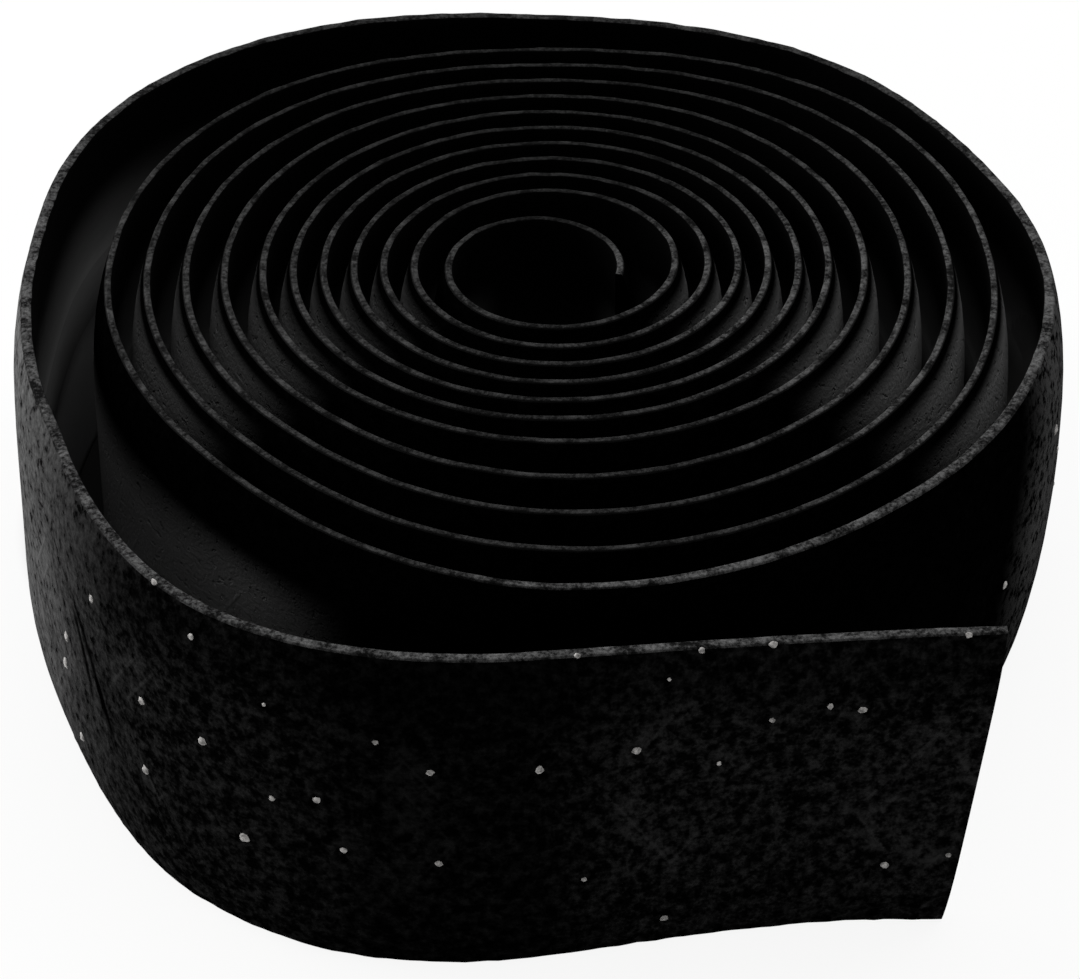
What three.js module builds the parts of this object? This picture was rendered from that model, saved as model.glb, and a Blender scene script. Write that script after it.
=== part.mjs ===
// A roll of bicycle handlebar tape, standing on the tape's lower edge.
//
// The tape is one long strip: a flat back with a slim raised band along its middle, a softly
// crowned outer face, and both margins thinned so that turns can overlap on a bar. It is
// extruded flat, then wound from the eye outwards. The first turns lie close, the later ones
// have slackened towards the front, and the last has sprung open and ends in a free tail, which
// leans back a little at its foot.
//
// Units are millimetres, +Z is up, and the origin lies on the floor under the roll's middle.
// Headings are counted from +X towards +Y, seen from above. The front of the roll faces -Y.

import * as THREE from 'three';
import { mergeVertices } from 'three/addons/utils/BufferGeometryUtils.js';

// Tape section
const TAPE_WIDTH = 30;
const TAPE_THICKNESS = 1.95; // from the back to the crown
const EDGE_THICKNESS = 0.75;
const MARGIN_WIDTH = 4.5; // width over which each margin thins
const CROWN_RISE = 0.2; // from where a margin starts to the crown
const BAND_WIDTH = 5;
const BAND_RISE = 0.12;
const BAND_EDGE = 0.4; // width of the band's sloping edge

// Winding
const EYE_RADIUS = 7.5; // back of the tape, where a plain spiral would start
const CORE_AIR = 0.6; // between the crown of one turn and the back of the next
const WOUND_TURNS = 11.8;
const START_HEADING = -19; // degrees, of the inner end

// Curl of the inner end, which closes up and leans to the front left
const CURL_TURNS = 1.33;
const CURL_TIGHTENING = 1.45;
const CURL_LEAN = 1.25;
const CURL_HEADING = 226; // degrees

// Slack that the outer turns have taken up, more to the front than to the back
const SLACK_START = 6.35; // in turns from the inner end
const SLACK_EASING = 0.4; // in turns, over which the slack sets in
// Air that each slack turn gains, at every eighth of a turn from +X
const SLACK_AIR = [1.0, 0.8, 0.1, 0.7, 0.7, 1.0, 2.2, 1.8];

// Spring of the last turn. How far it stands off, at every twelfth of a turn up to its end
const SPRING_OFF = [0, -0.6, -0.1, 0.9, -0.3, 1.3, 2.8, 4.3, 4.6, 3.1, 4.9, 9.5, 3.7];

// Tail
const TAIL_LENGTH = 35.5;
const TAIL_RISE = 3.1; // how far its end lies behind its start
const TAIL_HEADING = 3; // degrees, at its end
const CUT_SLANT = 3.5; // how much longer its upper edge is than its lower one

// Lean of the last turn. How far its lower edge stands outside its upper one, counted back from
// the tail's end, at every third of the tail and then at every twenty-fourth of a turn
const LEAN_OUT = [
  ...[-0.8, -1.4, -0.8],
  ...[0.5, 0.9, 0.3, 0, 0.3, 0.1, -0.5, -0.3, 0, 0, 0, 0],
  ...[0, 0, 0, 0, 0.3, 0.35, -0.5, -0.9, -0.6, -0.2, 0],
];
const TAIL_LEANS = 3;
const TURN_LEANS = 24;

// Faceting
const STEPS = 440; // cross-sections along the tape
const TAIL_SHARE = 0.03; // of the steps

const PITCH = TAPE_THICKNESS + CORE_AIR;

const tapeMaterial = new THREE.MeshStandardMaterial({
  color: 0x17171a,
  roughness: 0.7,
  metalness: 0,
});

// The cross-section: x is the height across the tape, y the distance out from its back.
function tapeSection() {
  const middle = TAPE_WIDTH / 2;
  const shoulder = TAPE_THICKNESS - CROWN_RISE;
  const section = new THREE.Shape();
  section.moveTo(0, 0);
  section.lineTo(middle - BAND_WIDTH / 2, 0);
  section.lineTo(middle - BAND_WIDTH / 2 + BAND_EDGE, -BAND_RISE);
  section.lineTo(middle + BAND_WIDTH / 2 - BAND_EDGE, -BAND_RISE);
  section.lineTo(middle + BAND_WIDTH / 2, 0);
  section.lineTo(TAPE_WIDTH, 0);
  section.lineTo(TAPE_WIDTH, EDGE_THICKNESS);
  section.lineTo(TAPE_WIDTH - MARGIN_WIDTH, shoulder);
  section.lineTo(middle, TAPE_THICKNESS);
  section.lineTo(MARGIN_WIDTH, shoulder);
  section.lineTo(0, EDGE_THICKNESS);
  return section;
}

// Smooth curve through a value and its neighbours, for a fraction of the way to the next one.
function blend(before, here, next, after, fraction) {
  const slope = next - before;
  const bend = 2 * before - 5 * here + 4 * next - after;
  const twist = 3 * (here - next) + after - before;
  return here + 0.5 * fraction * (slope + fraction * (bend + fraction * twist));
}

function slackAt(heading) {
  const count = SLACK_AIR.length;
  const place = THREE.MathUtils.euclideanModulo(heading / (2 * Math.PI), 1) * count;
  const first = Math.floor(place);
  const [before, here, next, after] = [-1, 0, 1, 2].map((step) => {
    return SLACK_AIR[(first + step + count) % count];
  });
  return blend(before, here, next, after, place - first);
}

// Smooth curve through a whole list, at a place counted in its entries.
function through(values, place) {
  const last = values.length - 1;
  const inside = THREE.MathUtils.clamp(place, 0, last);
  const first = Math.min(Math.floor(inside), last - 1);
  const here = values[first];
  const next = values[first + 1];
  const before = first > 0 ? values[first - 1] : here;
  const after = first + 2 > last ? 2 * next - here : values[first + 2];
  return blend(before, here, next, after, inside - first);
}

function springAt(turns) {
  const last = SPRING_OFF.length - 1;
  return through(SPRING_OFF, last - (WOUND_TURNS - turns) * last);
}

// Zero up to the start, then growing with the turns after a soft onset.
function slackTurns(turns) {
  const past = Math.max(turns - SLACK_START, 0);
  return past < SLACK_EASING ? past ** 2 / (2 * SLACK_EASING) : past - SLACK_EASING / 2;
}

function headingAt(turns) {
  return THREE.MathUtils.degToRad(START_HEADING) + 2 * Math.PI * turns;
}

// Distance of the tape's back from the winding's centre, after so many turns.
function backRadius(turns) {
  const heading = headingAt(turns);
  const curl = 1 - THREE.MathUtils.smoothstep(turns, 0, CURL_TURNS);
  const lean = CURL_LEAN * Math.cos(heading - THREE.MathUtils.degToRad(CURL_HEADING));
  const plain = EYE_RADIUS + PITCH * turns + curl * (lean - CURL_TIGHTENING);
  return plain + slackTurns(turns) * slackAt(heading) + springAt(turns);
}

function woundPoint(turns) {
  const heading = headingAt(turns);
  const radius = backRadius(turns);
  return new THREE.Vector2(radius * Math.cos(heading), radius * Math.sin(heading));
}

function woundTangent(turns) {
  const step = 1e-4;
  return woundPoint(turns + step).sub(woundPoint(turns - step)).normalize();
}

// The free end: it leaves the last turn smoothly and levels out.
function tailCurve() {
  const start = woundPoint(WOUND_TURNS);
  const along = Math.sqrt(TAIL_LENGTH ** 2 - TAIL_RISE ** 2);
  const end = start.clone().add(new THREE.Vector2(along, TAIL_RISE));
  const reach = TAIL_LENGTH / 3;
  const angle = THREE.MathUtils.degToRad(TAIL_HEADING);
  const endTangent = new THREE.Vector2(Math.cos(angle), Math.sin(angle));
  const leaving = start.clone().addScaledVector(woundTangent(WOUND_TURNS), reach);
  const arriving = end.clone().addScaledVector(endTangent, -reach);
  return new THREE.CubicBezierCurve(start, leaving, arriving, end);
}

// Turns reached after a share of the wound length. Small turns get more cross-sections, so
// that every facet strays as little from the true curve.
function turnsAt(share) {
  const first = EYE_RADIUS ** 1.5;
  const last = (EYE_RADIUS + PITCH * WOUND_TURNS) ** 1.5;
  return ((first + share * (last - first)) ** (2 / 3) - EYE_RADIUS) / PITCH;
}

// Place, direction and lean of the tape's back at a share of its length, for a height on it.
function backAt(share, height, tail) {
  const woundShare = 1 - TAIL_SHARE;
  if (share <= woundShare) {
    const turns = turnsAt(share / woundShare);
    const lean = through(LEAN_OUT, TAIL_LEANS + (WOUND_TURNS - turns) * TURN_LEANS);
    return { point: woundPoint(turns), tangent: woundTangent(turns), lean };
  }
  const cut = (CUT_SLANT / TAIL_LENGTH) * (1 - height / TAPE_WIDTH);
  const reach = ((share - woundShare) / TAIL_SHARE) * (1 - cut);
  const lean = through(LEAN_OUT, TAIL_LEANS * (1 - reach));
  return { point: tail.getPoint(reach), tangent: tail.getTangent(reach), lean };
}

// Bends the flat tape, which runs along z with its height along x, round the winding.
function wind(geometry) {
  const tail = tailCurve();
  const position = geometry.getAttribute('position');
  for (let i = 0; i < position.count; i += 1) {
    const height = position.getX(i);
    const { point, tangent, lean } = backAt(position.getZ(i), height, tail);
    const outwards = position.getY(i) + lean * (1 - height / TAPE_WIDTH);
    position.setXYZ(i, point.x + outwards * tangent.y, point.y - outwards * tangent.x, height);
  }
}

function tapeGeometry() {
  const flat = new THREE.ExtrudeGeometry(tapeSection(), {
    depth: 1,
    steps: STEPS,
    bevelEnabled: false,
  });
  flat.deleteAttribute('uv');
  flat.deleteAttribute('normal');
  wind(flat);
  const wound = mergeVertices(flat, 1e-4);
  wound.computeBoundingBox();
  const middle = wound.boundingBox.getCenter(new THREE.Vector3());
  wound.translate(-middle.x, -middle.y, 0);
  wound.computeVertexNormals();
  return wound;
}

const tape = new THREE.Mesh(tapeGeometry(), tapeMaterial);
tape.name = 'tape';

const roll = new THREE.Group();
roll.add(tape);

export default roll;
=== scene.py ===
"""The looks of a roll of bicycle handlebar tape that stands on its lower edge.

The tape is modelled flat, as it is made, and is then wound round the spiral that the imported
solid follows. Flat, it runs along +X from its inner end, its back lies at y = 0, its outer face
looks towards -Y, and its lower edge lies at z = 0. Lengths are in metres.
"""

import logging
import math
import random
from collections.abc import Callable, Iterator
from contextlib import contextmanager
from dataclasses import dataclass, field
from enum import Enum

import bmesh
import bpy
import numpy as np
from mathutils import Euler, Matrix, Vector


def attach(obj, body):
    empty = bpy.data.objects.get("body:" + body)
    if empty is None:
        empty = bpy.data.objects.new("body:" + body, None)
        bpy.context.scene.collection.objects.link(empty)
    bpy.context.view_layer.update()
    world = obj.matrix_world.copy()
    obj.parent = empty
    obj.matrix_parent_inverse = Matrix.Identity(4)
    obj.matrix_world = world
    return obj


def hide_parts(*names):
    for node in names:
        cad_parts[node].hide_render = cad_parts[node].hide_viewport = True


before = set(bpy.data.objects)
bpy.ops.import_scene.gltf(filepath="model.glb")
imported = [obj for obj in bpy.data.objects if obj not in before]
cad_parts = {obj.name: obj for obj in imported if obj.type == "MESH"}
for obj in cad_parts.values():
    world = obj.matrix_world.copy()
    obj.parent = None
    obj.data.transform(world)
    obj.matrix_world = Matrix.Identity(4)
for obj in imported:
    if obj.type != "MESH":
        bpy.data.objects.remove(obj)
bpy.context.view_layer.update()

MM = 0.001
TINY = 0.01 * MM
NODE = "tape"
BODY = "root"

log = logging.getLogger("tape_roll")


class Wire:
    """A node's output. Python's operators on it lay Math nodes."""

    def __init__(self, recipe: "Recipe", socket: bpy.types.NodeSocket) -> None:
        """Wraps an output socket of a recipe's node."""
        self.recipe = recipe
        self.socket = socket

    def maths(self, operation: str, *values: "Wire | float") -> "Wire":
        """Lays one Math node.

        Args:
            operation: Blender's name of the operation.
            values: the node's inputs in their order.

        Returns:
            The node's result.
        """
        inputs = dict(enumerate(values))
        return self.recipe.node("ShaderNodeMath", {"operation": operation}, inputs)

    def __add__(self, other: "Wire | float") -> "Wire":
        """This plus other."""
        return self.maths("ADD", self, other)

    def __radd__(self, other: float) -> "Wire":
        """A number plus this."""
        return self.maths("ADD", other, self)

    def __sub__(self, other: "Wire | float") -> "Wire":
        """This minus other."""
        return self.maths("SUBTRACT", self, other)

    def __rsub__(self, other: float) -> "Wire":
        """A number minus this."""
        return self.maths("SUBTRACT", other, self)

    def __mul__(self, other: "Wire | float") -> "Wire":
        """This times other."""
        return self.maths("MULTIPLY", self, other)

    def __rmul__(self, other: float) -> "Wire":
        """A number times this."""
        return self.maths("MULTIPLY", other, self)

    def __truediv__(self, other: "Wire | float") -> "Wire":
        """This over other."""
        return self.maths("DIVIDE", self, other)

    def __neg__(self) -> "Wire":
        """Minus this."""
        return self.maths("MULTIPLY", self, -1.0)

    def __abs__(self) -> "Wire":
        """This without its sign."""
        return self.maths("ABSOLUTE", self)

    def output(self, name: str) -> "Wire":
        """Another output of the same node."""
        return Wire(self.recipe, self.socket.node.outputs[name])

    def over(self, low: float, high: float) -> "Wire":
        """A mask that rises smoothly.

        Args:
            low: where it is still 0.
            high: where it reaches 1.

        Returns:
            The mask.
        """
        settings = {"interpolation_type": "SMOOTHSTEP"}
        sockets = {"Value": self, "From Min": low, "From Max": high}
        return self.recipe.node("ShaderNodeMapRange", settings, sockets)

    def under(self, low: float, high: float) -> "Wire":
        """A mask that falls smoothly from 1 at low to 0 at high."""
        return 1 - self.over(low, high)

    def from_least(self, least: float) -> "Wire":
        """This mask, raised so that it runs from least to 1."""
        return self * (1 - least) + least


class Recipe:
    """A material, or the world, that is written as expressions on wires."""

    def __init__(self, owner: bpy.types.Material | bpy.types.World) -> None:
        """Empties the owner's nodes."""
        owner.use_nodes = True
        self.owner = owner
        self.tree = owner.node_tree
        self.tree.nodes.clear()

    def node(
        self,
        kind: str,
        settings: dict[str, object] | None = None,
        sockets: dict[str | int, object] | None = None,
        output: str | int = 0,
    ) -> Wire | None:
        """Lays one node.

        Args:
            kind: the node's type.
            settings: its own properties, which are set first.
            sockets: wires or values for its inputs, by identifier, name or number.
            output: which output is handed back.

        Returns:
            That output, or None for a node that has none.
        """
        made = self.tree.nodes.new(kind)
        for key, value in (settings or {}).items():
            setattr(made, key, value)
        for key, value in (sockets or {}).items():
            target = self._pick(made.inputs, key)
            if isinstance(value, Wire):
                self.tree.links.new(value.socket, target)
            else:
                target.default_value = value
        return Wire(self, self._pick(made.outputs, output)) if made.outputs else None

    @staticmethod
    def _pick(sockets: bpy.types.bpy_prop_collection, key: str | int) -> bpy.types.NodeSocket:
        """Finds a socket.

        Args:
            sockets: a node's inputs or outputs.
            key: the socket's number, identifier or name.

        Returns:
            The socket.
        """
        if isinstance(key, int):
            return sockets[key]
        named = [s for s in sockets if s.identifier == key]
        return named[0] if named else sockets[key]

    def place(self, along: float = 1.0, shift: float = 0.0) -> Wire:
        """The place on the flat tape, in millimetres. X runs along it and Y up its height.

        Args:
            along: stretch of the pattern's coordinate along the tape.
            shift: how far the pattern is moved, so that two patterns differ.

        Returns:
            The stretched place.
        """
        flat = self.node("ShaderNodeUVMap", {"uv_map": FlatTape.MAP})
        scale = (along / MM, 1 / MM, 1.0)
        sockets = {"Vector": flat, "Scale": scale, "Location": (shift,) * 3}
        return self.node("ShaderNodeMapping", None, sockets)

    def flat_parts(self) -> tuple[Wire, Wire]:
        """How far along the flat tape a place lies, and how high up it, in millimetres."""
        parts = self.node("ShaderNodeSeparateXYZ", None, {"Vector": self.place()})
        return parts, parts.output("Y")

    def solid_place(self) -> Wire:
        """The place in the wound piece itself, in millimetres."""
        place = self.node("ShaderNodeTexCoord", None, None, "Object")
        return self.node("ShaderNodeMapping", None, {"Vector": place, "Scale": (1 / MM,) * 3})

    def heading(self) -> tuple[Wire, Wire]:
        """The heading in which a place lies from the winding's middle.

        Returns:
            The heading's cosine and sine.
        """
        place = self.node("ShaderNodeTexCoord", None, None, "Object")
        for operation, other in (
            ("SUBTRACT", (*Winding.centre, 0.0)),
            ("MULTIPLY", (1.0, 1.0, 0.0)),
            ("NORMALIZE", (0.0, 0.0, 0.0)),
        ):
            sockets = {0: place, 1: other}
            place = self.node("ShaderNodeVectorMath", {"operation": operation}, sockets)
        parts = self.node("ShaderNodeSeparateXYZ", None, {"Vector": place})
        return parts, parts.output("Y")

    def noise(self, place: Wire, scale: float, detail: float = 2.0, rough: float = 0.5) -> Wire:
        """Smooth noise from 0 to 1, with so many waves to the millimetre."""
        sockets = {"Vector": place, "Scale": scale, "Detail": detail, "Roughness": rough}
        return self.node("ShaderNodeTexNoise", None, sockets)

    def tone(self, factor: Wire, dark: "Tone", light: "Tone") -> Wire:
        """A colour between two tones."""
        sockets = {"Factor_Float": factor, "A_Color": dark, "B_Color": light}
        return self.node("ShaderNodeMix", {"data_type": "RGBA"}, sockets, "Result_Color")

    def bump(self, height: Wire) -> Wire:
        """A normal from a height in millimetres."""
        return self.node("ShaderNodeBump", None, {"Height": height, "Distance": MM})

    def finish(self, **sockets: object) -> bpy.types.Material:
        """Ends the material with a Principled shader.

        Args:
            sockets: values or wires by the socket's name, with _ for each space.

        Returns:
            The material.
        """
        named = {key.replace("_", " "): value for key, value in sockets.items()}
        named = {key.replace("Ior", "IOR"): value for key, value in named.items()}
        shader = self.node("ShaderNodeBsdfPrincipled", None, named)
        self.node("ShaderNodeOutputMaterial", None, {"Surface": shader})
        return self.owner


Tone = tuple[float, float, float, float]
Span = tuple[float, float]


def grey(level: float, warmth: float = 0.0) -> Tone:
    """A neutral tone, with a little more red and less blue where warmth is above 0."""
    return (level * (1 + warmth), level, level * (1 - warmth), 1.0)


def material_recipe(name: str) -> Recipe:
    """Starts a recipe for a new material of that name."""
    return Recipe(bpy.data.materials.new(name))


@dataclass(frozen=True)
class Lozenges:
    """A faint pressed relief of nested lozenges, by turns a little high and low on the tape.

    Lengths are in millimetres. The border is counted from the middle of a lozenge, which has its
    point at 1, and a line from the middle between two rings, which lie 1 apart.
    """

    pitch: float = 21.0
    half_width: float = 7.0
    half_height: float = 9.5
    middle: float = 15.0
    stagger: float = 2.0
    rings: float = 3.0
    border: Span = (0.98, 1.08)
    line: Span = (0.36, 0.48)

    def masks(self, recipe: Recipe) -> tuple[Wire, Wire]:
        """Lays the pattern.

        Args:
            recipe: the material's recipe.

        Returns:
            Where the lines are, and where the whole lozenge is, from 0 to 1.
        """
        along, height = recipe.flat_parts()
        column = along.maths("FLOOR", along / self.pitch + 0.5)
        across = along - column * self.pitch
        shift = (along.maths("PINGPONG", column, 1.0) - 0.5) * (2 * self.stagger)
        up = height - self.middle - shift
        reach = abs(across) / self.half_width + abs(up) / self.half_height
        inside = reach.under(*self.border)
        ring = reach.maths("PINGPONG", reach * self.rings, 0.5)
        return ring.over(*self.line) * inside, inside


@dataclass(frozen=True)
class Crease:
    """A pressed crease in the outer face, in millimetres from the tape's end and lower edge."""

    from_end: float
    height: float
    reach: float
    tilt: float
    width: float = 0.34
    bend: float = 0.02

    def mask(self, recipe: Recipe, length: float) -> Wire:
        """Lays the crease.

        Args:
            recipe: the material's recipe.
            length: the tape's length in millimetres.

        Returns:
            Where the crease is, from 0 to 1.
        """
        along, height = recipe.flat_parts()
        past = along - (length - self.from_end)
        up = height - self.height
        across = past * math.cos(self.tilt) + up * math.sin(self.tilt)
        lengthwise = up * math.cos(self.tilt) - past * math.sin(self.tilt)
        ends = abs(lengthwise).under(self.reach * 0.5, self.reach)
        return abs(across + lengthwise * lengthwise * self.bend).under(0, self.width * 2) * ends


@dataclass(frozen=True)
class PaintedLight:
    """How light the black skin shows, by its place on the tape: painted light and shade, with a
    painted sheen where it bends away sideways and painted light on the walls between the turns.

    A span gives where a change starts and where it is complete. Spans along the tape are in
    millimetres from its outer end, and the inner end's from its inner one. Spans of height are in
    millimetres from its lower edge, and those of a direction are cosines.
    """

    front: float = 0.026
    front_left: float = 0.07
    tail: float = 0.09
    least: float = 0.003
    left: float = 0.6
    left_growth: float = 1.1
    right: float = 0.16
    right_slant: float = 0.25
    turns: float = 0.55
    gap: float = 0.7
    tail_to_front: Span = (26, 38)
    front_to_left: Span = (46, 58)
    front_end: Span = (225, 240)
    left_start: Span = (66, 118)
    left_end: Span = (116, 134)
    right_start: Span = (210, 235)
    right_end: Span = (264, 274)
    gap_start: Span = (292, 302)
    turns_start: Span = (420, 440)
    inner_end: Span = (25, 60)
    front_top: Span = (21, 28)
    top_painted_shade: float = 0.5
    right_foot: Span = (2, 16)
    foot_least: float = 0.5
    turns_top: Span = (27, 29.2)
    gap_top: Span = (19, 25)
    sideways: Span = (0.7, 0.95)
    leftwards: Span = (0.35, 0.65)
    mottle: Span = (0.4, 0.8)
    mottle_least: float = 0.03
    left_mottle: Span = (0.25, 0.7)
    left_mottle_least: float = 0.2
    right_mottle: Span = (0.38, 0.56)
    pit_painted_shade: float = 0.8

    def _front(self, from_end: Wire, height: Wire) -> Wire:
        """The last turn where it faces forwards.

        Args:
            from_end: distance from the tape's outer end.
            height: height on the tape.

        Returns:
            The share of the light tone in the tail, the front and the front left, which is painted
            light, with painted shade towards the upper edge.
        """
        share = self.front + from_end.over(*self.front_to_left) * (self.front_left - self.front)
        share = share + from_end.under(*self.tail_to_front) * (self.tail - self.front)
        # painted shade towards the upper edge, where the crown tilts up
        share = share * (1 - height.over(*self.front_top) * self.top_painted_shade)
        return share * from_end.under(*self.front_end) + self.least

    def _sides(self, from_end: Wire, height: Wire, pale: Wire) -> Wire:
        """The last turn where it bends away to the left and to the right, where a painted sheen
        stands in for the side lamps.

        Args:
            from_end: distance from the tape's outer end.
            height: height on the tape.
            pale: the small mottling.

        Returns:
            The share of the light tone on both sides, which is a painted sheen.
        """
        left = from_end.over(*self.left_start)
        left = left.maths("POWER", left, self.left_growth)
        left = left * from_end.under(*self.left_end) * self.left
        left = left * pale.over(*self.left_mottle).from_least(self.left_mottle_least)
        right = (from_end + height * self.right_slant).under(*self.right_end)
        right = from_end.over(*self.right_start) * right * self.right
        # the painted sheen on the right is weaker towards the lower edge
        right = right * height.over(*self.right_foot).from_least(self.foot_least)
        return left + right * pale.over(*self.right_mottle)

    def _behind(self, recipe: Recipe, along: Wire, from_end: Wire, height: Wire) -> Wire:
        """The walls that show between the turns and behind the last one, with painted light that
        fades out towards their upper edges.

        Args:
            recipe: the material's recipe.
            along: distance from the tape's inner end.
            from_end: distance from the tape's outer end.
            height: height on the tape.

        Returns:
            The share of the light tone on those walls, which is painted light.
        """
        cosine, _ = recipe.heading()
        wound = from_end.over(*self.turns_start)
        turns = abs(cosine).over(*self.sideways) * wound * height.under(*self.turns_top)
        turns = turns * along.over(*self.inner_end)
        gap = (-cosine).over(*self.leftwards) * from_end.over(*self.gap_start) * (1 - wound)
        gap = gap * height.under(*self.gap_top)
        return turns * self.turns + gap * self.gap

    def share(self, recipe: Recipe, length: float, pale: Wire, pits: Wire) -> Wire:
        """Lays the painted light and shade, which is strongest where the tape bends away sideways.

        Args:
            recipe: the material's recipe.
            length: the tape's length in millimetres.
            pale: the small mottling.
            pits: where the pits are.

        Returns:
            The share of the light tone, from 0 to 1.
        """
        along, height = recipe.flat_parts()
        from_end = length - along
        front = (pale.over(*self.mottle) + self.mottle_least) * self._front(from_end, height)
        # painted shade in the pits, which stay dark within the painted sheen
        sides = self._sides(from_end, height, pale) * (1 - pits * self.pit_painted_shade)
        return front + sides + self._behind(recipe, along, from_end, height)


@dataclass(frozen=True)
class OuterFoam:
    """Black pebbled foam with pits, a few creases, a faint relief, and painted light and shade.
    Lengths in millimetres.
    """

    dark: Tone = grey(0.0003)
    # the light tone is that of the painted light and sheen
    light: Tone = grey(0.24)
    painted_light: PaintedLight = PaintedLight()
    blotch_scale: float = 1.1
    blotch_shift: float = 23.0
    grain_scale: float = 2.6
    grain_share: float = 0.35
    grain_rough: float = 0.6
    grain_height: float = 0.12
    pitted: Span = (0.3, 0.4)
    pit_depth: float = 0.16
    worn_scale: float = 0.16
    worn_shift: float = 51.0
    worn: Span = (0.4, 0.65)
    crease_depth: float = 0.3
    crease_painted_shade: float = 0.95
    relief_height: float = 0.05
    lozenge_gain: float = 0.06
    line_gain: float = 0.1
    roughness: float = 0.43
    roughness_gain: float = 0.25
    gloss: float = 0.0
    relief: Lozenges = Lozenges()
    creases: tuple[Crease, ...] = (
        Crease(77.0, 16.5, 6.0, 0.66),
        Crease(78.5, 16.0, 4.5, 0.55),
        Crease(74.5, 13.0, 3.0, 0.6),
    )

    def material(self, length: float) -> bpy.types.Material:
        """Builds the material.

        Args:
            length: the tape's length in millimetres.

        Returns:
            The material.
        """
        recipe = material_recipe("outer_foam")
        lines, inside = self.relief.masks(recipe)
        creased = sum(crease.mask(recipe, length) for crease in self.creases)
        grain = recipe.noise(recipe.place(), self.grain_scale, rough=self.grain_rough)
        blotched = recipe.place(shift=self.blotch_shift)
        blotches = recipe.noise(blotched, self.blotch_scale, rough=self.grain_rough)
        worn = recipe.noise(recipe.place(shift=self.worn_shift), self.worn_scale, detail=1.0)
        worn = worn.over(*self.worn)
        pits = blotches.under(*self.pitted)
        height = grain * self.grain_height - pits * self.pit_depth
        height = height - creased * self.crease_depth + lines * worn * self.relief_height
        pale = blotches * (1 - self.grain_share) + grain * self.grain_share
        pale = pale + inside * worn * self.lozenge_gain + lines * worn * self.line_gain
        # painted light by place, with painted shade in the creases
        shade = self.painted_light.share(recipe, length, pale, pits) * (1 - creased * self.crease_painted_shade)
        return recipe.finish(
            Base_Color=recipe.tone(shade, self.dark, self.light),
            Roughness=grain * self.roughness_gain + self.roughness,
            Specular_Ior_Level=self.gloss,
            Normal=recipe.bump(height),
        )


@dataclass(frozen=True)
class CutRim:
    """The cut edge, where the foam shows grey and a little frayed.

    A loss, or a painted shade, is the share of its brightness that a place lacks. Its brightness
    is partly painted light and shade by heading from the roll's middle: painted shade at the back,
    at the inner turns' front and on the rims' rounded sides, and painted light at the inner turns'
    right. Lengths are in millimetres, spans of the inner turns run from the tape's outer end, and
    those of a direction are cosines or sines.
    """

    dark: Tone = grey(0.002)
    light: Tone = grey(0.118)
    fibre_scale: float = 2.6
    fibre_detail: float = 3.0
    fibre_rough: float = 0.7
    fibre_height: float = 0.12
    fibre_share: float = 0.6
    worn_scale: float = 0.5
    frayed: Span = (0.38, 0.7)
    bright: float = 0.88
    inner_turns: Span = (310, 330)
    inner_loss: float = 0.45
    rightwards: Span = (0.3, 0.9)
    inner_right_painted_light: float = 0.3
    backwards: Span = (0.1, 0.8)
    back_painted_shade: float = 0.62
    forwards: Span = (0.5, 1.0)
    inner_front_painted_shade: float = 0.35
    middle: float = 15.0
    top_of_rim: Span = (14.93, 14.99)
    side_painted_shade: float = 0.5
    inner_side_painted_shade: float = 0.45
    roughness: float = 0.75
    roughness_gain: float = 0.2
    gloss: float = 0.02

    def material(self, length: float) -> bpy.types.Material:
        """Builds the material.

        Args:
            length: the tape's length in millimetres.

        Returns:
            The material.
        """
        recipe = material_recipe("cut_rim")
        place = recipe.solid_place()
        fibre = recipe.noise(place, self.fibre_scale, self.fibre_detail, self.fibre_rough)
        worn = recipe.noise(place, self.worn_scale, detail=1.0)
        along, height = recipe.flat_parts()
        cosine, sine = recipe.heading()
        inner = (length - along).over(*self.inner_turns)
        # painted light and shade by heading: lighter at the inner turns' right, darker at the back
        # and the inner turns' front, and darker on the rims' rounded sides
        right = inner * cosine.over(*self.rightwards) * self.inner_right_painted_light
        bright = self.bright - inner * self.inner_loss + right
        bright = bright * (1 - sine.over(*self.backwards) * self.back_painted_shade)
        bright = bright * (1 - inner * (-sine).over(*self.forwards) * self.inner_front_painted_shade)
        side = abs(height - self.middle).under(*self.top_of_rim)
        bright = bright * (1 - side * (inner * self.inner_side_painted_shade + self.side_painted_shade))
        mottle = fibre * self.fibre_share + worn * (1 - self.fibre_share)
        shade = mottle.over(*self.frayed) * bright
        return recipe.finish(
            Base_Color=recipe.tone(shade, self.dark, self.light),
            Roughness=fibre * self.roughness_gain + self.roughness,
            Specular_Ior_Level=self.gloss,
            Normal=recipe.bump(fibre * self.fibre_height),
        )


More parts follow.
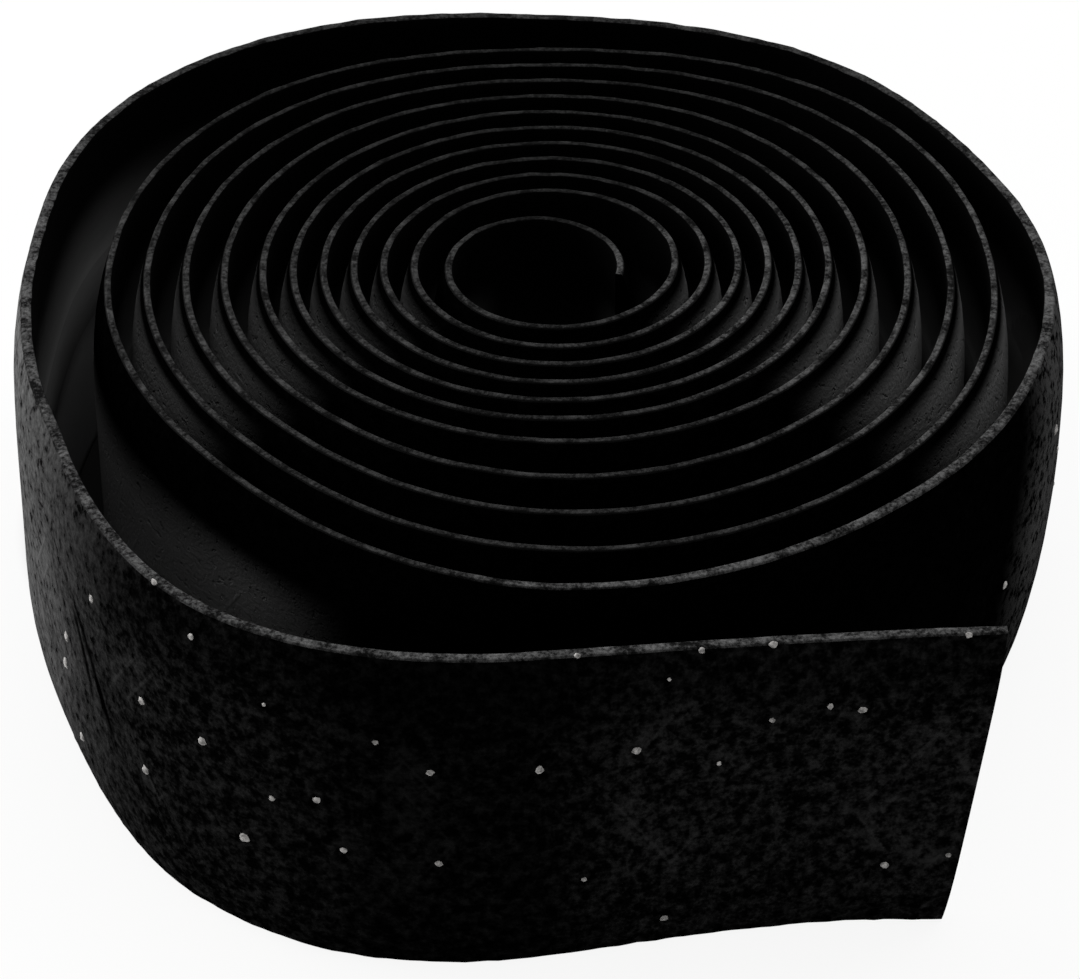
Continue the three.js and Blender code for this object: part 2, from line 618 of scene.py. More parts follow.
@dataclass(frozen=True)
class BackFilm:
    """The smooth satin backing, with a painted reflection that makes it light at the roll's sides
    and lower down, and black towards its upper edge.

    Lengths are in millimetres, and the span of a direction is in cosines.
    """

    name: str = "back_film"
    dark: Tone = grey(0.001)
    # the light tone is that of the painted reflection
    light: Tone = grey(0.13)
    least: float = 0.03
    sideways: Span = (0.6, 0.97)
    painted_light_fade: Span = (16.5, 25.0)
    streak_stretch: float = 0.25
    streak_scale: float = 1.2
    streak_rough: float = 0.6
    streak_least: float = 0.8
    streak_gain: float = 0.3
    streak_height: float = 0.01
    wave_shift: float = 7.0
    wave_scale: float = 0.12
    wave_height: float = 0.12
    roughness: float = 0.3
    roughness_gain: float = 0.2
    gloss: float = 0.006

    def material(self) -> bpy.types.Material:
        """Builds the material.

        Returns:
            The material.
        """
        recipe = material_recipe(self.name)
        stretched = recipe.place(along=self.streak_stretch)
        streaks = recipe.noise(stretched, self.streak_scale, rough=self.streak_rough)
        waves = recipe.noise(recipe.place(shift=self.wave_shift), self.wave_scale, detail=1.0)
        _, height = recipe.flat_parts()
        cosine, _ = recipe.heading()
        # painted reflection: lightest at the roll's sides and below the fade, black above it
        sideways = abs(cosine).over(*self.sideways).from_least(self.least)
        streaked = streaks * self.streak_gain + self.streak_least
        shade = height.under(*self.painted_light_fade) * sideways * streaked
        return recipe.finish(
            Base_Color=recipe.tone(shade, self.dark, self.light),
            Roughness=streaks * self.roughness_gain + self.roughness,
            Specular_Ior_Level=self.gloss,
            Normal=recipe.bump(streaks * self.streak_height + waves * self.wave_height),
        )


@dataclass(frozen=True)
class Cork:
    """Pale cork granules."""

    dark: Tone = grey(0.14, 0.03)
    light: Tone = grey(0.45, 0.03)
    mottle_scale: float = 2.5
    mottled: Span = (0.3, 0.7)
    mottle_height: float = 0.05
    roughness: float = 0.7
    roughness_gain: float = 0.2
    gloss: float = 0.2

    def material(self) -> bpy.types.Material:
        """Builds the material.

        Returns:
            The material.
        """
        recipe = material_recipe("cork")
        mottle = recipe.noise(recipe.solid_place(), self.mottle_scale)
        return recipe.finish(
            Base_Color=recipe.tone(mottle.over(*self.mottled), self.dark, self.light),
            Roughness=mottle * self.roughness_gain + self.roughness,
            Specular_Ior_Level=self.gloss,
            Normal=recipe.bump(mottle * self.mottle_height),
        )


class Surface(Enum):
    """The tape's surfaces, in the order of their material slots."""

    OUTER = 0
    RIM = 1
    FILM = 2
    BAND = 3


def only(piece: bpy.types.Object) -> None:
    """Makes one piece the selected and active one."""
    bpy.ops.object.select_all(action="DESELECT")
    piece.select_set(True)
    bpy.context.view_layer.objects.active = piece


@contextmanager
def editing(piece: bpy.types.Object, mode: str = "VERT") -> Iterator[bmesh.types.BMesh]:
    """Edit mode on one piece, with nothing selected at the start.

    Args:
        piece: the piece to edit.
        mode: VERT, EDGE or FACE, for what is selected.

    Yields:
        The mesh in edit mode.
    """
    only(piece)
    bpy.ops.object.mode_set(mode="EDIT")
    bpy.ops.mesh.select_mode(type=mode)
    bpy.ops.mesh.select_all(action="DESELECT")
    yield bmesh.from_edit_mesh(piece.data)
    bpy.ops.object.mode_set(mode="OBJECT")


def select(piece: bpy.types.Object, parts: bmesh.types.BMEdgeSeq, wanted: Callable) -> None:
    """Selects the vertices, edges or faces in edit mode that a test picks.

    Args:
        piece: the piece in edit mode.
        parts: its vertices, edges or faces.
        wanted: the test.
    """
    for part in parts:
        part.select_set(bool(wanted(part)))
    bmesh.update_edit_mesh(piece.data)


def apply(piece: bpy.types.Object, kind: str, **settings: object) -> None:
    """Adds a modifier, sets it and applies it.

    Args:
        piece: the piece that it works on.
        kind: the modifier's type.
        settings: its properties.
    """
    modifier = piece.modifiers.new(kind.lower(), kind)
    for key, value in settings.items():
        setattr(modifier, key, value)
    only(piece)
    bpy.ops.object.modifier_apply(modifier=modifier.name)


def points_of(piece: bpy.types.Object) -> np.ndarray:
    """Reads where a piece's vertices are.

    Args:
        piece: the piece.

    Returns:
        Their places, one row each.
    """
    places = np.empty(len(piece.data.vertices) * 3)
    piece.data.vertices.foreach_get("co", places)
    return places.reshape(-1, 3)


def set_points(piece: bpy.types.Object, places: np.ndarray) -> None:
    """Moves a piece's vertices to those places."""
    piece.data.vertices.foreach_set("co", places.ravel())
    piece.data.update()


@dataclass(frozen=True)
class Section:
    """The tape's cross-section."""

    width: float = 30 * MM
    thickness: float = 1.95 * MM
    edge: float = 0.9 * MM
    crown_power: float = 5.0
    band_width: float = 5 * MM
    band_rise: float = 0.12 * MM
    band_edge: float = 0.4 * MM
    band_foot: float = 2 * MM
    back_steps: tuple[float, ...] = (8 * MM, 12 * MM, 14 * MM)
    corner: float = 0.18 * MM

    def outer(self, height: np.ndarray) -> np.ndarray:
        """Thickness of the tape: thin at both edges, full in the middle.

        Args:
            height: heights on the tape.

        Returns:
            The thickness at each.
        """
        middle = self.width / 2
        off = np.clip(np.abs(height - middle) / middle, 0, 1)
        return self.edge + (self.thickness - self.edge) * (1 - off**self.crown_power)

    def band(self, height: np.ndarray) -> np.ndarray:
        """How far the back stands proud, which it does at its band.

        Args:
            height: heights on the tape.

        Returns:
            The rise at each.
        """
        off = np.abs(height - self.width / 2)
        share = (self.band_width / 2 - off) / self.band_edge
        return self.band_rise * np.clip(share, 0, 1)

    def back_heights(self) -> list[float]:
        """Places the points of the back.

        Returns:
            Their heights, without those of its two edges.
        """
        middle, half = self.width / 2, self.band_width / 2
        steps = [half - self.band_edge, half, half + self.band_foot, *self.back_steps]
        return sorted([middle - s for s in steps] + [middle + s for s in steps])


@dataclass(frozen=True)
class Winding:
    """The line that the tape's back follows, seen from above.

    The slack's start and its easing are in turns. The lists of the slack air, the spring and the
    lean are in millimetres: the air that a turn gains at every eighth of a turn from +X, the
    spring at every twelfth of the last turn, and the lean counted back from the tail's end, at
    every third of the tail and then at every twenty-fourth of a turn, as the bow's place is.
    """

    pitch: float = 2.55 * MM
    eye: float = 7.5 * MM
    turns: float = 11.8
    start: float = math.radians(-19)
    curl_turns: float = 1.33
    curl_tightening: float = 1.45 * MM
    curl_lean: float = 1.25 * MM
    curl_heading: float = math.radians(226)
    slack_start: float = 6.35
    slack_easing: float = 0.4
    slack_air: tuple[float, ...] = (1.0, 0.8, 0.1, 0.7, 0.7, 1.0, 2.2, 1.8)
    spring_off: tuple[float, ...] = (
        0, -0.6, -0.1, 0.9, -0.3, 1.3, 2.8, 4.3, 4.75, 3.25, 4.9, 9.5, 3.7
    )
    tail_length: float = 35.5 * MM
    tail_rise: float = 3.1 * MM
    tail_heading: float = math.radians(3)
    lean_out: tuple[float, ...] = (
        *(-0.8, -1.4, -0.8),
        *(0.5, 0.9, 0.3, 0, 0.3, 0.1, -0.5, -0.3, 0, 0, 0, 0),
        *(0, 0, 0, 0, 0.3, 0.35, -0.5, -0.9, -0.6, -0.2, 0),
    )
    tail_leans: float = 3.0
    turn_leans: float = 24.0
    bow_out: float = 0.6 * MM
    bow_place: float = 21.3
    bow_spread: float = 0.9
    centre: tuple[float, float] = (1.30 * MM, 6.84 * MM)
    steps: int = 4000
    tail_steps: int = 80

    @staticmethod
    def _ring(values: np.ndarray, place: np.ndarray) -> np.ndarray:
        """Draws a smooth curve through values.

        Args:
            values: the values, with a neighbour more at each end.
            place: places on the curve, where 0 is the second value and 1 the third.

        Returns:
            The curve's values there.
        """
        first = np.clip(np.floor(place).astype(int), 0, len(values) - 4)
        before, here, following, after = (values[first + step] for step in range(4))
        part = place - first
        slope = following - before
        bend = 2 * before - 5 * here + 4 * following - after
        twist = 3 * (here - following) + after - before
        return here + 0.5 * part * (slope + part * (bend + part * twist))

    def _slack(self, heading: np.ndarray) -> np.ndarray:
        """Air that each slack turn gains.

        Args:
            heading: headings in radians.

        Returns:
            The air at each.
        """
        air = np.array(self.slack_air) * MM
        ring = np.concatenate([air[-1:], air, air[:2]])
        return self._ring(ring, heading / (2 * math.pi) % 1 * len(air))

    def _through(self, values: tuple[float, ...], place: np.ndarray) -> np.ndarray:
        """Draws a smooth curve through a whole list.

        Args:
            values: the list, in millimetres.
            place: places on the curve, counted in the list's entries.

        Returns:
            The curve's values there, in metres.
        """
        line = np.array(values) * MM
        padded = np.concatenate([line[:1], line, 2 * line[-1:] - line[-2:-1]])
        return self._ring(padded, np.clip(place, 0, len(line) - 1))

    def _spring(self, turns: np.ndarray) -> np.ndarray:
        """How far the last turn stands off."""
        last = len(self.spring_off) - 1
        return self._through(self.spring_off, last - (self.turns - turns) * last)

    def stand_out(self, along: np.ndarray, share: np.ndarray) -> np.ndarray:
        """How far the free stretch stands outside the line, by its lean and its bow.

        Args:
            along: places along the tape.
            share: how high they are, from 0 at the lower edge to 1 at the upper one.

        Returns:
            The distances.
        """
        turns = np.linspace(0, self.turns, self.steps)
        reached = np.concatenate([[0], np.hypot(*np.diff(self.wound(turns), axis=0).T).cumsum()])
        back = (self.turns - np.interp(along, reached, turns)) * self.turn_leans
        tail = (1 - (along - reached[-1]) / self.tail_length) * self.tail_leans
        place = np.where(along < reached[-1], self.tail_leans + back, tail)
        off = (place - self.bow_place) / self.bow_spread
        bow = self.bow_out * np.exp(-off * off / 2) * (4 * share * (1 - share)) ** 2
        return self._through(self.lean_out, place) * (1 - share) + bow

    def wound(self, turns: np.ndarray) -> np.ndarray:
        """Draws the wound part of the line.

        Args:
            turns: turns from the inner end.

        Returns:
            The line's point after each.
        """
        heading = self.start + 2 * math.pi * turns
        share = np.clip(turns / self.curl_turns, 0, 1)
        curl = 1 - share * share * (3 - 2 * share)
        lean = self.curl_lean * np.cos(heading - self.curl_heading)
        past = np.clip(turns - self.slack_start, 0, None)
        soft = past**2 / (2 * self.slack_easing)
        slack = np.where(past < self.slack_easing, soft, past - self.slack_easing / 2)
        radius = self.eye + self.pitch * turns + curl * (lean - self.curl_tightening)
        radius = radius + slack * self._slack(heading) + self._spring(turns)
        return np.stack([radius * np.cos(heading), radius * np.sin(heading)], 1)

    def line(self) -> np.ndarray:
        """Draws the whole line.

        Returns:
            Its points from the inner end to the end of the tail.
        """
        wound = self.wound(np.linspace(0, self.turns, self.steps))
        start = wound[-1]
        leaving = wound[-1] - wound[-2]
        leaving = leaving / np.hypot(*leaving)
        arriving = np.array([math.cos(self.tail_heading), math.sin(self.tail_heading)])
        along = math.sqrt(self.tail_length**2 - self.tail_rise**2)
        end = start + np.array([along, self.tail_rise])
        reach = self.tail_length / 3
        corners = [start, start + leaving * reach, end - arriving * reach, end]
        share = np.linspace(0, 1, self.tail_steps)[1:, None]
        rest = 1 - share
        weights = [rest**3, 3 * rest**2 * share, 3 * rest * share**2, share**3]
        tail = sum(weight * corner for weight, corner in zip(weights, corners))
        return np.concatenate([wound, tail])

    def length(self) -> float:
        """The line's length."""
        return float(np.hypot(*np.diff(self.line(), axis=0).T).sum())


@dataclass
class FlatTape:
    """The tape, modelled flat and then wound.

    The squeeze is the share by which the inner turns' rims are thinner than the last turn's. It
    sets in at the last turn's start, counted from the tape's outer end, over its easing. The
    tilts are the least part of a face's normal that points up or down, or out of the outer end,
    where the face belongs to the rim. The side and the face are shares of the thickness, within
    which an edge or a point counts as lying on one.
    """

    MAP = "flat"

    section: Section = field(default_factory=Section)
    winding: Winding = field(default_factory=Winding)
    outer_cuts: int = 17
    rim_cuts: int = 2
    corner_cuts: int = 2
    side: float = 0.1
    face: float = 0.01
    step: float = 0.85 * MM
    weld: float = 0.0005 * MM
    rim_tilt: float = 0.55
    end_tilt: float = 0.7
    rim_reach: float = 0.2 * MM
    crisp: float = math.radians(40)
    end_slant: float = 3.5 * MM
    last_turn: float = 290 * MM
    squeeze: float = 0.36
    squeeze_easing: float = 35.5 * MM
    wobble: float = 0.14 * MM
    wobble_size: float = 9 * MM
    fray: float = 0.12 * MM
    fray_size: float = 1.3 * MM
    nibble: float = 0.12 * MM
    nibble_size: float = 4 * MM

    def ring(self) -> bpy.types.Object:
        """Models the cross-section.

        Returns:
            A closed ring of edges in the YZ plane.
        """
        size, depth = self.section.width, self.section.thickness
        near = self.side * depth
        bpy.ops.mesh.primitive_plane_add(size=1, rotation=(0, -math.pi / 2, 0))
        piece = bpy.context.object
        piece.name = piece.data.name = "tape_roll"
        piece.scale = (size, depth, 1)
        piece.location = (0, -depth / 2, size / 2)
        only(piece)
        bpy.ops.object.transform_apply(location=True, rotation=True, scale=True)
        sides = {
            self.outer_cuts: lambda e: all(v.co.y < near - depth for v in e.verts),
            len(self.section.back_heights()): lambda e: all(v.co.y > -near for v in e.verts),
            self.rim_cuts: lambda e: abs(e.verts[0].co.z - e.verts[1].co.z) < near,
        }
        with editing(piece, "EDGE") as mesh:
            for cuts, side in sides.items():
                select(piece, mesh.edges, side)
                bpy.ops.mesh.subdivide(number_cuts=cuts)
                bpy.ops.mesh.select_all(action="DESELECT")
        self._shape(piece)
        with editing(piece) as mesh:
            select(piece, mesh.verts, self._is_corner)
            bpy.ops.mesh.bevel(
                offset=self.section.corner, segments=self.corner_cuts, affect="VERTICES"
            )
            bpy.ops.mesh.select_mode(type="FACE")
            bpy.ops.mesh.select_all(action="SELECT")
            bpy.ops.mesh.delete(type="ONLY_FACE")
        return piece

    def _is_corner(self, vertex: bmesh.types.BMVert) -> bool:
        """Tests for the section's four corners.

        Args:
            vertex: a vertex of the ring.

        Returns:
            Whether it is one of them.
        """
        edge, width = self.section.edge, self.section.width
        at_rim = min(vertex.co.z, width - vertex.co.z) < TINY
        return at_rim and (vertex.co.y > -TINY or vertex.co.y < TINY - edge)

    def _shape(self, piece: bpy.types.Object) -> None:
        """Moves the rectangle's points to the tape's section.

        Args:
            piece: the rectangle.
        """
        places = points_of(piece)
        width, depth = self.section.width, self.section.thickness
        share = np.clip(-places[:, 1] / depth, 0, 1)
        height = places[:, 2].copy()
        outer = share > 1 - self.face
        height[outer] = width * (0.5 - 0.5 * np.cos(math.pi * height[outer] / width))
        back = np.where((share < self.face) & (height > TINY) & (height < width - TINY))[0]
        height[back[np.argsort(height[back])]] = self.section.back_heights()
        places[:, 2] = height
        places[:, 1] = (1 - share) * self.section.band(height) - share * self.section.outer(height)
        set_points(piece, places)

    def sweep(self, piece: bpy.types.Object, length: float) -> None:
        """Draws the ring out to the tape's length and closes both ends.

        Args:
            piece: the ring.
            length: the tape's length.
        """
        steps = round(length / self.step)
        apply(piece, "SCREW", axis="X", angle=0, screw_offset=length, steps=steps,
              render_steps=steps, use_smooth_shade=True)
        with editing(piece, "EDGE"):
            bpy.ops.mesh.select_all(action="SELECT")
            bpy.ops.mesh.remove_doubles(threshold=self.weld)
            bpy.ops.mesh.select_all(action="SELECT")
            bpy.ops.mesh.fill_holes(sides=0)
            bpy.ops.mesh.select_all(action="SELECT")
            bpy.ops.mesh.normals_make_consistent(inside=False)
        places = points_of(piece)
        places[:, 0] -= places[:, 0].min()
        set_points(piece, places)

    def mark(self, piece: bpy.types.Object) -> None:
        """Writes the flat map, each face's surface and the groups that the fraying uses.

        Args:
            piece: the flat tape.
        """
        mesh, width = piece.data, self.section.width
        places = points_of(piece)
        corner = np.empty(len(mesh.loops), int)
        mesh.loops.foreach_get("vertex_index", corner)
        flat = mesh.uv_layers.new(name=self.MAP)
        flat.uv.foreach_set("vector", places[corner][:, [0, 2]].ravel())
        normal = np.empty(len(mesh.polygons) * 3)
        mesh.polygons.foreach_get("normal", normal)
        normal = normal.reshape(-1, 3)
        centre = np.empty(len(mesh.polygons) * 3)
        mesh.polygons.foreach_get("center", centre)
        centre = centre.reshape(-1, 3)
        surface = np.where(normal[:, 1] < 0, Surface.OUTER.value, Surface.FILM.value)
        banded = np.abs(centre[:, 2] - width / 2) < self.section.band_width / 2
        surface[banded & (surface == Surface.FILM.value)] = Surface.BAND.value
        cut = (np.abs(normal[:, 2]) > self.rim_tilt) | (normal[:, 0] > self.end_tilt)
        surface[cut] = Surface.RIM.value
        mesh.polygons.foreach_set("material_index", surface)
        height, reach = places[:, 2], self.rim_reach
        for name, near in (("upper", height > width - reach), ("lower", height < reach)):
            group = piece.vertex_groups.new(name=name)
            group.add(np.where(near)[0].tolist(), 1.0, "REPLACE")

    def ruffle(self, piece: bpy.types.Object) -> None:
        """Adds the small unevenness of real foam: a wobble of the whole tape and frayed rims.

        Args:
            piece: the flat tape.
        """
        shifts = [
            ("wobble", "", "Y", self.wobble, self.wobble_size, 0.5),
            ("upper_fray", "upper", "Y", self.fray, self.fray_size, 0.5),
            ("upper_nibble", "upper", "Z", -self.nibble, self.nibble_size, 0.35),
            ("upper_bite", "upper", "Z", -self.fray, self.fray_size, 0.45),
            ("lower_fray", "lower", "Y", self.fray, self.fray_size, 0.5),
            ("lower_bite", "lower", "Z", self.fray, self.fray_size, 0.45),
        ]
        for name, group, axis, strength, size, level in shifts:
            texture = bpy.data.textures.new(name, "CLOUDS")
            texture.noise_scale = size
            texture.noise_depth = 1
            apply(piece, "DISPLACE", texture=texture, texture_coords="LOCAL", direction=axis,
                  strength=strength, mid_level=level, vertex_group=group)

    def settle(self, places: np.ndarray) -> None:
        """Gives flat places the squeezed inner edges, the slanted end and the lean.

        Args:
            places: places on the flat tape, one row each, which are moved.
        """
        share = places[:, 2] / self.section.width
        from_end = self.winding.length() - places[:, 0]
        wound = np.clip((from_end - self.last_turn) / self.squeeze_easing, 0, 1)
        off = np.clip(np.abs(2 * share - 1), 0, 1)
        places[:, 1] *= 1 - self.squeeze * wound * off**self.section.crown_power
        reach = np.clip(1 - from_end / self.winding.tail_length, 0, None)
        places[:, 0] -= self.end_slant * reach * (1 - share)
        places[:, 1] -= self.winding.stand_out(places[:, 0], share)

    def path(self) -> bpy.types.Object:
        """Draws the winding in the frame's place.

        Returns:
            Its line as a curve.
        """
        line = self.winding.line() + self.winding.centre
        curve = bpy.data.curves.new("winding", "CURVE")
        curve.dimensions = "3D"
        curve.twist_mode = "Z_UP"
        spline = curve.splines.new("POLY")
        spline.points.add(len(line) - 1)
        places = np.zeros((len(line), 4))
        places[:, :2] = line
        places[:, 3] = 1
        spline.points.foreach_set("co", places.ravel())
        made = bpy.data.objects.new("winding", curve)
        bpy.context.collection.objects.link(made)
        return made

    def build(self, path: bpy.types.Object) -> bpy.types.Object:
        """Models the tape flat and winds it.

        Args:
            path: the curve that it is wound round.

        Returns:
            The finished roll.
        """
        length = self.winding.length()
        piece = self.ring()
        self.sweep(piece, length)
        self.mark(piece)
        self.ruffle(piece)
        places = points_of(piece)
        places[:, 2] = np.clip(places[:, 2], 0, self.section.width)
        self.settle(places)
        set_points(piece, places)
        apply(piece, "CURVE", object=path, deform_axis="POS_X")
        only(piece)
        bpy.ops.object.shade_smooth_by_angle(angle=self.crisp)
        # the band carries the backing's painted reflection too, a little dimmer
        band = BackFilm("back_band", light=grey(0.1), roughness=0.4)
        finishes = {
            Surface.OUTER: OuterFoam().material(length / MM),
            Surface.RIM: CutRim().material(length / MM),
            Surface.FILM: BackFilm().material(),
            Surface.BAND: band.material(),
        }
        for surface in Surface:
            piece.data.materials.append(finishes[surface])
        log.info("tape: %.3f m long, %d faces", length, len(piece.data.polygons))
        return piece


@dataclass(frozen=True)
class Fleck:
    """One cork granule on the outer face, in millimetres."""

    from_end: float
    height: float
    size: float


@dataclass
class CorkFlecks:
    """Pale granules in the outer face. Those on the last turn lie where the real ones show.

    The lowest and highest heights and the sizes of the scattered ones are in millimetres.
    """

    tape: FlatTape
    per_area: float = 1 / (250 * MM * MM)
    bare_end: float = 100 * MM
    bare_start: float = 4 * MM
    heights: Span = (1.5, 21)
    sizes: Span = (0.3, 0.9)
    stretch: Span = (0.85, 1.05)
    unevenness: float = 0.09
    sink: float = 0.1
    flatness: float = 0.6
    seed: int = 11
    shown: tuple[Fleck, ...] = (
        Fleck(3.0, 29.8, 0.65), Fleck(3.5, 8.0, 0.5), Fleck(8.5, 7.0, 0.7),
        Fleck(11.0, 23.5, 0.85), Fleck(13.5, 24.0, 0.6), Fleck(18.0, 23.0, 0.6),
        Fleck(18.0, 29.8, 0.7), Fleck(22.0, 19.0, 0.5), Fleck(23.5, 29.7, 0.6),
        Fleck(26.0, 27.5, 0.35), Fleck(26.0, 3.0, 0.8), Fleck(28.5, 21.0, 0.85),
        Fleck(32.5, 8.5, 0.55), Fleck(33.0, 29.9, 0.5), Fleck(36.0, 20.0, 0.85),
        Fleck(43.5, 11.0, 0.7), Fleck(44.0, 20.0, 0.7), Fleck(48.0, 22.5, 0.5),
        Fleck(50.5, 11.5, 0.65), Fleck(52.5, 16.0, 0.65), Fleck(56.0, 15.0, 0.6),
        Fleck(56.5, 24.0, 0.35), Fleck(58.5, 10.0, 0.95), Fleck(62.0, 18.0, 0.85),
        Fleck(63.0, 27.5, 0.6), Fleck(67.5, 29.9, 0.65), Fleck(68.5, 18.0, 0.8),
        Fleck(68.5, 11.0, 1.0), Fleck(76.0, 23.0, 0.85), Fleck(81.0, 5.0, 1.0),
        Fleck(83.0, 14.0, 1.1), Fleck(84.0, 10.5, 1.1), Fleck(257.0, 21.0, 1.1),
        Fleck(269.0, 13.5, 0.8),
    )

    def _granule(self) -> bpy.types.Object:
        """Models one rough granule.

        Returns:
            The granule, a unit across.
        """
        bpy.ops.mesh.primitive_ico_sphere_add(subdivisions=2, radius=0.5)
        granule = bpy.context.object
        only(granule)
        bpy.ops.object.mode_set(mode="EDIT")
        bpy.ops.mesh.select_all(action="SELECT")
        bpy.ops.transform.vertex_random(
            offset=self.unevenness, uniform=1.0, normal=0.0, seed=self.seed
        )
        bpy.ops.object.mode_set(mode="OBJECT")
        return granule

    def _places(self, length: float) -> list[Fleck]:
        """Places the flecks.

        Args:
            length: the tape's length.

        Returns:
            The shown flecks and a scatter of others over the rest of the tape.
        """
        draw = random.Random(self.seed)
        area = (length - self.bare_end) * self.tape.section.width
        others = []
        for _ in range(round(area * self.per_area)):
            from_end = draw.uniform(self.bare_end, length - self.bare_start) / MM
            height = draw.uniform(*self.heights)
            others.append(Fleck(from_end, height, draw.uniform(*self.sizes)))
        return list(self.shown) + others

    def build(self, path: bpy.types.Object) -> bpy.types.Object:
        """Scatters the granules on the flat tape and winds them with it.

        Args:
            path: the curve that the tape is wound round.

        Returns:
            All granules as one piece.
        """
        draw = random.Random(self.seed + 1)
        length = self.tape.winding.length()
        granule = self._granule()
        copies = []
        for fleck in self._places(length):
            copy = granule.copy()
            copy.data = granule.data.copy()
            height = fleck.height * MM
            face = float(self.tape.section.outer(np.array([height]))[0])
            sink = self.sink * fleck.size * MM
            centre = Vector((length - fleck.from_end * MM, -face + sink, height))
            turn = Euler([draw.uniform(0, math.tau) for _ in range(3)]).to_matrix().to_4x4()
            scale = [fleck.size * MM * draw.uniform(*self.stretch) for _ in range(3)]
            scale[1] *= self.flatness
            shape = Matrix.Diagonal((*scale, 1.0))
            copy.data.transform(Matrix.Translation(centre) @ shape @ turn)
            bpy.context.collection.objects.link(copy)
            copies.append(copy)
        bpy.data.objects.remove(granule)
        bpy.ops.object.select_all(action="DESELECT")
        for copy in copies:
            copy.select_set(True)
        bpy.context.view_layer.objects.active = copies[0]
        bpy.ops.object.join()
        piece = bpy.context.object
        piece.name = piece.data.name = "cork_flecks"
        places = points_of(piece)
        share = places[:, 2] / self.tape.section.width
        places[:, 1] -= self.tape.winding.stand_out(places[:, 0], share)
        set_points(piece, places)
        apply(piece, "CURVE", object=path, deform_axis="POS_X")
        only(piece)
        bpy.ops.object.shade_smooth()
        piece.data.materials.clear()
        piece.data.materials.append(Cork().material())
        log.info("flecks: %d granules", len(copies))
        return piece


@dataclass
class TapeRoll:
    """The whole roll: the wound tape and the granules in its outer face."""

    tape: FlatTape = field(default_factory=FlatTape)

    def build(self) -> None:
        """Builds both pieces and ties them to the frame."""
        path = self.tape.path()
        roll = self.tape.build(path)
        flecks = CorkFlecks(self.tape).build(path)
        bpy.data.objects.remove(path)
        for piece in (roll, flecks):
            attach(piece, BODY)
        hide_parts(NODE)


@dataclass(frozen=True)
class Softbox:
    """One square lamp that faces the roll. A level of 1 lights a white card just to white."""

    name: str
    place: Vector
    size: float
    level: float

    def build(self, aim: Vector) -> None:
        """Hangs the lamp.

        Args:
            aim: the place that it faces.
        """
        reach = aim - self.place
        data = bpy.data.lights.new(self.name, "AREA")
        data.size = self.size
        data.energy = self.level * math.pi**2 * reach.length_squared
        lamp = bpy.data.objects.new(self.name, data)
        lamp.location = self.place
        lamp.rotation_euler = reach.to_track_quat("-Z", "Y").to_euler()
        bpy.context.collection.objects.link(lamp)


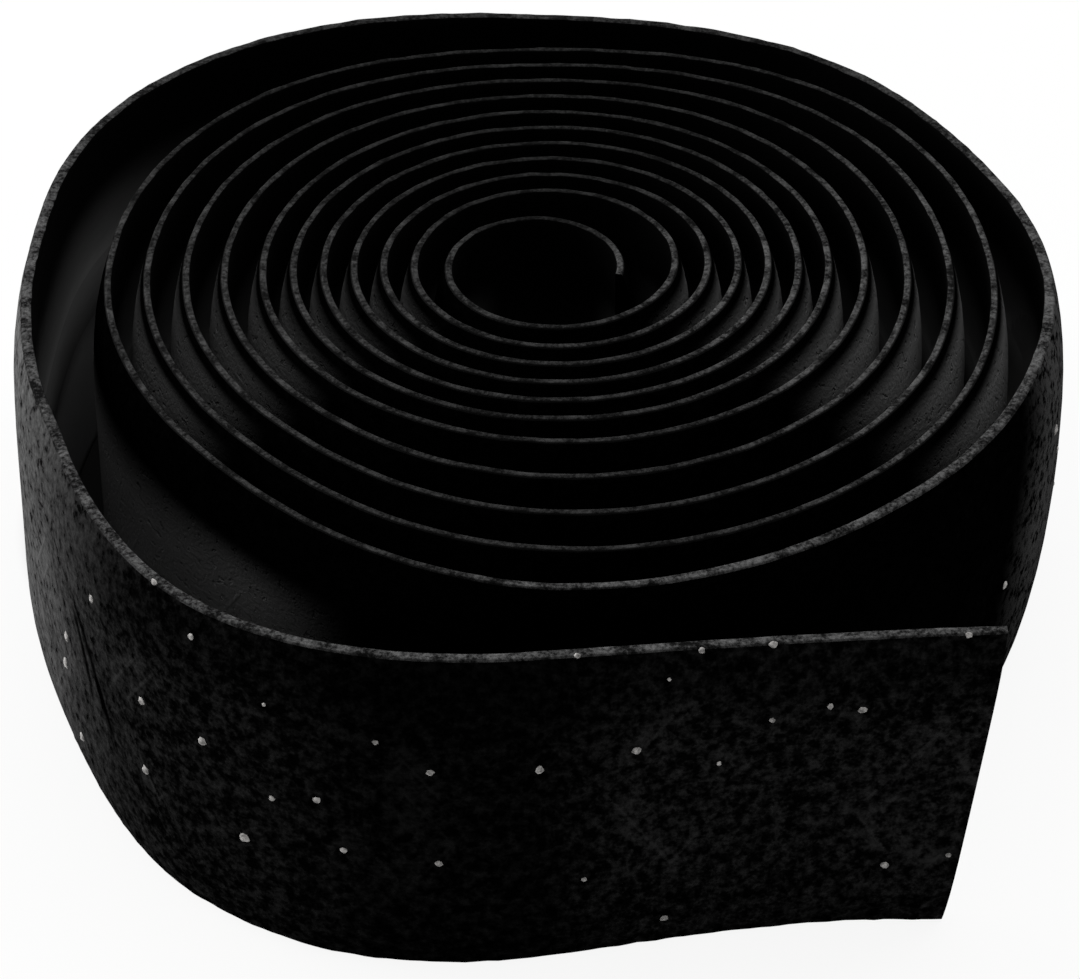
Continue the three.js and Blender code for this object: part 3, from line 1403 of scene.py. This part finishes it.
@dataclass
class Studio:
    """Pale floor, soft light and the camera."""

    aim: Vector = field(default_factory=lambda: Vector((0.15, -5.36, 15.0)) * MM)
    elevation: float = math.radians(36.6)
    distance: float = 403.3 * MM
    focal: float = 4776.5
    frame_width: float = 1080.0
    sensor: float = 36.0
    floor_size: float = 6.0
    floor_drop: float = 0.02 * MM
    floor_tone: Tone = grey(0.75)
    floor_white: float = 0.9
    painted_shadow_tone: Tone = grey(0.01)
    shade_middle: tuple[float, float] = (-3.5 * MM, 11 * MM)
    shade_size: tuple[float, float] = (40 * MM, 35 * MM)
    shade_border: Span = (0.98, 1.08)
    surround: float = 0.3
    softboxes: tuple[Softbox, ...] = (
        Softbox("left_softbox", Vector((-0.75, 0.3, 0.28)), 0.5, 1.2),
        Softbox("top_softbox", Vector((0.1, 0.15, 0.9)), 0.8, 0.75),
        Softbox("right_softbox", Vector((0.6, 0.45, 0.25)), 0.4, 0.3),
    )

    def _camera(self) -> None:
        """Puts the camera at the photograph's angle."""
        data = bpy.data.cameras.new("camera")
        data.sensor_width = self.sensor
        data.lens = self.focal * self.sensor / self.frame_width
        camera = bpy.data.objects.new("camera", data)
        back = Vector((0, -math.cos(self.elevation), math.sin(self.elevation)))
        camera.location = self.aim + back * self.distance
        camera.rotation_euler = (math.pi / 2 - self.elevation, 0, 0)
        bpy.context.collection.objects.link(camera)
        bpy.context.scene.camera = camera

    @staticmethod
    def _seen_white(recipe: Recipe) -> Wire:
        """Tells the rays that show the plain white background from those that light.

        Args:
            recipe: the recipe of the floor or the world.

        Returns:
            1 for the rays that show it, and 0 for the others.
        """
        rays = recipe.node("ShaderNodeLightPath")
        glossy, through = rays.output("Is Glossy Ray"), rays.output("Is Transmission Ray")
        mirrored = rays.maths("MAXIMUM", glossy, through)
        return rays.maths("MAXIMUM", rays.output("Is Camera Ray"), mirrored)

    def _floor(self) -> None:
        """A white floor that keeps a trace of the roll's shadow, and a painted shadow that makes
        it black under its turns.
        """
        bpy.ops.mesh.primitive_plane_add(size=self.floor_size, location=(0, 0, -self.floor_drop))
        floor = bpy.context.object
        floor.name = "floor"
        recipe = material_recipe("floor")
        place = recipe.node("ShaderNodeTexCoord", None, None, "Object")
        scale = (1 / self.shade_size[0], 1 / self.shade_size[1], 1.0)
        shift = tuple(-a * b for a, b in zip((*self.shade_middle, 0.0), scale))
        sockets = {"Vector": place, "Scale": scale, "Location": shift}
        place = recipe.node("ShaderNodeMapping", None, sockets)
        out = recipe.node("ShaderNodeVectorMath", {"operation": "LENGTH"}, {0: place}, "Value")
        clear = out.over(*self.shade_border)
        white = recipe.node("ShaderNodeEmission", None, {"Color": grey(1.0), "Strength": 1.0})
        matt = recipe.node("ShaderNodeBsdfDiffuse", None, {"Color": self.floor_tone})
        # painted shadow: the floor's colour is near black inside the patch under the turns
        painted_shadow = recipe.node("ShaderNodeBsdfDiffuse", None, {"Color": self.painted_shadow_tone})
        matt = recipe.node("ShaderNodeMixShader", None, {0: clear, 1: painted_shadow, 2: matt})
        share = self._seen_white(recipe) * self.floor_white * clear
        mixed = recipe.node("ShaderNodeMixShader", None, {0: share, 1: matt, 2: white})
        recipe.node("ShaderNodeOutputMaterial", None, {"Surface": mixed})
        floor.data.materials.append(recipe.owner)

    def _world(self) -> None:
        """An even pale surrounding, which is seen as white."""
        recipe = Recipe(bpy.data.worlds.new("surrounding"))
        strength = self._seen_white(recipe).from_least(self.surround)
        sockets = {"Color": grey(1.0), "Strength": strength}
        background = recipe.node("ShaderNodeBackground", None, sockets)
        recipe.node("ShaderNodeOutputWorld", None, {"Surface": background})
        bpy.context.scene.world = recipe.owner

    def build(self) -> None:
        """Sets up everything round the roll."""
        self._camera()
        self._floor()
        self._world()
        for softbox in self.softboxes:
            softbox.build(self.aim)
        bpy.context.scene.view_settings.view_transform = "Standard"


def main() -> None:
    """Builds the studio and the roll."""
    logging.basicConfig(level=logging.INFO, format="%(name)s %(message)s")
    Studio().build()
    TapeRoll().build()


if __name__ == "__main__":
    main()
